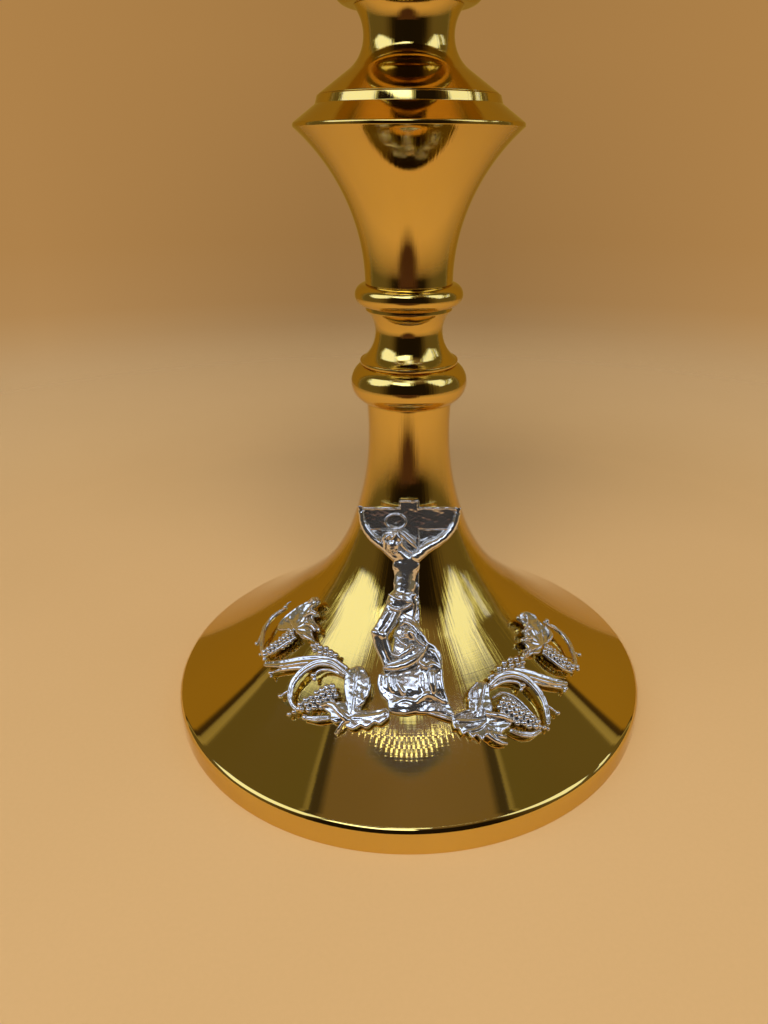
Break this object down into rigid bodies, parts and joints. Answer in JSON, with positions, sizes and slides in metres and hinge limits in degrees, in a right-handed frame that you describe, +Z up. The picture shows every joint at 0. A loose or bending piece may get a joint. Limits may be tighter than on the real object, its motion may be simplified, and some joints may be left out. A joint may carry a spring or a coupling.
{
  "type": "ciborium",
  "caption": "Gilt lidded ciborium: trumpet foot with a cast silver crucifixion and vine sprays, turned stem with an inverted-cone knop, round bowl, and a lift-off lid with a cross.",
  "frame": {"origin": "centre of the foot's underside, on the surface the vessel stands on", "axes": "+Z up along the vessel's axis, the front with the crucifix towards -Y, +X to the right seen from the front"},
  "size_m": [0.13, 0.13, 0.3319],
  "materials": {
    "gilt": "mirror-polished gold plate on brass with fine buffing lines",
    "silver": "cast relief, bright silver plate with darker hollows",
    "steel": "plain turned fastenings"
  },
  "bodies": {
    "vessel": {"foot": "gilt", "tie_rod": "steel", "tie_washer": "steel", "tie_nut": "steel", "lower_collar": "gilt", "waist_spool": "gilt", "stem_ring": "gilt", "knop_cone": "gilt", "knop_cover": "gilt", "upper_neck": "gilt", "top_collar": "gilt", "bowl_boss": "gilt", "bowl": "gilt", "cross": "silver", "corpus": "silver", "mourner": "silver", "leaves_left": "silver", "leaves_right": "silver", "vine_left": "silver", "vine_right": "silver", "grapes_left": "silver", "grapes_right": "silver", "cast_studs": "steel", "cast_nuts": "steel"},
    "lid": {"lid_shell": "gilt", "lid_ring": "gilt", "finial_ring": "gilt", "finial_ball": "gilt", "lid_cross": "gilt", "finial_washer": "steel", "finial_nut": "steel"}
  },
  "joints": [
    {"name": "lid_lift", "type": "slide", "parent": "vessel", "child": "lid", "axis": [0, 0, 1], "range_m": [0, 0.12]}
  ]
}
